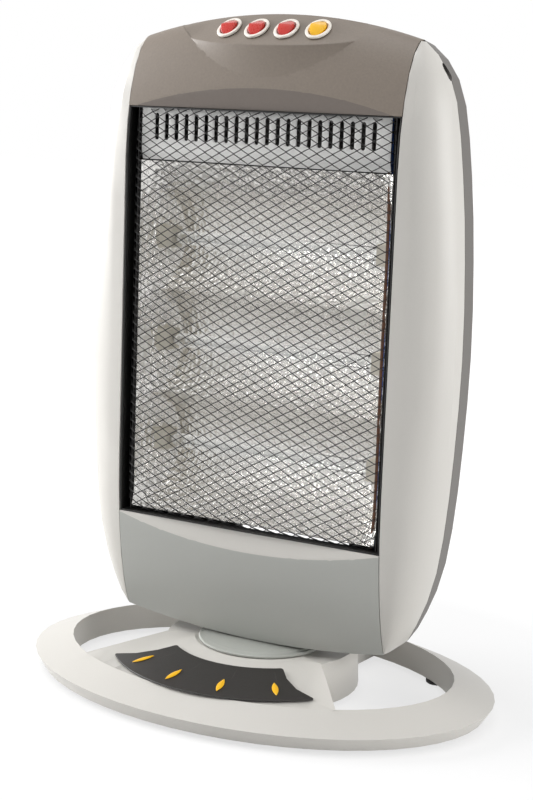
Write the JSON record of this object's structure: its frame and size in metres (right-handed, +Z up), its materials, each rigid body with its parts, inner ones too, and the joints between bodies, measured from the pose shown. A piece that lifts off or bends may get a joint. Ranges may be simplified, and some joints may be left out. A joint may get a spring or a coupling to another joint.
{
  "type": "halogen heater",
  "caption": "Free-standing halogen heater: quartz lamps and a reflector behind a wire grille in a swinging head, rocker switches on top, open oval base.",
  "frame": {"origin": "on the floor under the middle of the oval base", "axes": "+Z up, the grille faces -Y, +X to the right of someone who looks at the front"},
  "size_m": [0.36, 0.2486, 0.482],
  "materials": {
    "pale_plastic": "fine-grained satin moulded plastic, pale grey",
    "cover_plastic": "fine-textured moulded plastic, brown grey",
    "rear_plastic": "textured moulded plastic, dark grey",
    "dark_plastic": "satin moulded plastic, near black",
    "collar_plastic": "semi-gloss moulded plastic, light grey",
    "yellow_plastic": "glossy moulded plastic, warm yellow",
    "red_plastic": "glossy moulded plastic, red",
    "bezel_plastic": "glossy moulded plastic, cream",
    "foot_rubber": "soft black rubber",
    "zinc_steel": "zinc-plated pressed steel",
    "black_wire": "black enamelled steel wire",
    "black_paint": "black heat-resistant paint on steel",
    "white_paint": "white heat-resistant paint on steel",
    "bright_aluminium": "bright hammered sheet",
    "quartz": "clear quartz tube",
    "steatite": "unglazed cream ceramic",
    "blue_lead": "blue silicone insulation",
    "brown_lead": "brown silicone insulation"
  },
  "bodies": {
    "base": {"base_ring": "pale_plastic", "base_inset": "dark_plastic", "base_marker_1": "yellow_plastic", "base_marker_2": "yellow_plastic", "base_marker_3": "yellow_plastic", "base_marker_4": "yellow_plastic", "base_bottom_plate": "dark_plastic", "rubber_foot_1": "foot_rubber", "rubber_foot_2": "foot_rubber", "rubber_foot_3": "foot_rubber", "rubber_foot_4": "foot_rubber", "tip_switch_case": "dark_plastic", "pivot_plate": "zinc_steel", "swing_yoke": "zinc_steel", "retaining_ring": "zinc_steel"},
    "plunger": {"tip_switch_plunger": "red_plastic"},
    "head": {"left_side_panel": "pale_plastic", "right_side_panel": "pale_plastic", "lower_front_panel": "pale_plastic", "top_cover": "cover_plastic", "rear_cover": "rear_plastic", "rear_grip_tub": "dark_plastic", "cord_inlet": "dark_plastic", "neck_collar": "collar_plastic", "switch_body_1": "bezel_plastic", "switch_body_2": "bezel_plastic", "switch_body_3": "bezel_plastic", "switch_body_4": "bezel_plastic", "head_plate": "zinc_steel", "swing_motor": "zinc_steel", "heat_shield": "zinc_steel", "left_leg_strap": "zinc_steel", "right_leg_strap": "zinc_steel", "rear_screw_1": "zinc_steel", "rear_screw_2": "zinc_steel", "rear_screw_3": "zinc_steel", "rear_screw_4": "zinc_steel", "front_grille": "black_wire", "left_bracket": "black_paint", "right_bracket": "black_paint", "vent_plate": "white_paint", "reflector": "bright_aluminium", "halogen_tube_1": "quartz", "halogen_tube_2": "quartz", "halogen_tube_3": "quartz", "left_lamp_socket_1": "steatite", "left_lamp_socket_2": "steatite", "left_lamp_socket_3": "steatite", "right_lamp_socket_1": "steatite", "right_lamp_socket_2": "steatite", "right_lamp_socket_3": "steatite", "thermal_cutout": "steatite", "terminal_block": "steatite", "blue_lamp_lead": "blue_lead", "brown_lamp_lead": "brown_lead"},
    "crank": {"crank_arm": "dark_plastic"},
    "rocker_1": {"switch_rocker_1": "red_plastic"},
    "rocker_2": {"switch_rocker_2": "red_plastic"},
    "rocker_3": {"switch_rocker_3": "red_plastic"},
    "rocker_4": {"switch_rocker_4": "yellow_plastic"}
  },
  "joints": [
    {"name": "head_swing", "type": "hinge", "parent": "base", "child": "head", "pos_m": [0, 0.0053, 0.04], "axis": [0, 0, 1], "range_deg": [-35, 35]},
    {"name": "crank_turn", "type": "hinge", "parent": "head", "child": "crank", "pos_m": [0, 0.0213, 0.058], "axis": [0, 0, 1], "range_deg": [-126, 126]},
    {"name": "plunger_slide", "type": "slide", "parent": "base", "child": "plunger", "axis": [0, 0, 1], "range_m": [-0.0043, 0], "stiffness_N_per_m": 120, "springref_m": -0.012},
    {"name": "rocker_1_tilt", "type": "hinge", "parent": "head", "child": "rocker_1", "pos_m": [-0.0345, -0.01152, 0.47069], "axis": [0.9957, 0, 0.0927], "range_deg": [-18, 0]},
    {"name": "rocker_2_tilt", "type": "hinge", "parent": "head", "child": "rocker_2", "pos_m": [-0.0115, -0.01372, 0.47047], "axis": [0.9995, 0, 0.0309], "range_deg": [-18, 0]},
    {"name": "rocker_3_tilt", "type": "hinge", "parent": "head", "child": "rocker_3", "pos_m": [0.0115, -0.01372, 0.47047], "axis": [0.9995, 0, -0.0309], "range_deg": [-18, 0]},
    {"name": "rocker_4_tilt", "type": "hinge", "parent": "head", "child": "rocker_4", "pos_m": [0.0345, -0.01152, 0.47069], "axis": [0.9957, 0, -0.0927], "range_deg": [-18, 0]}
  ],
  "couplings": [
    {"joint": "crank_turn", "follows": "head_swing", "ratio": -3.5714}
  ]
}
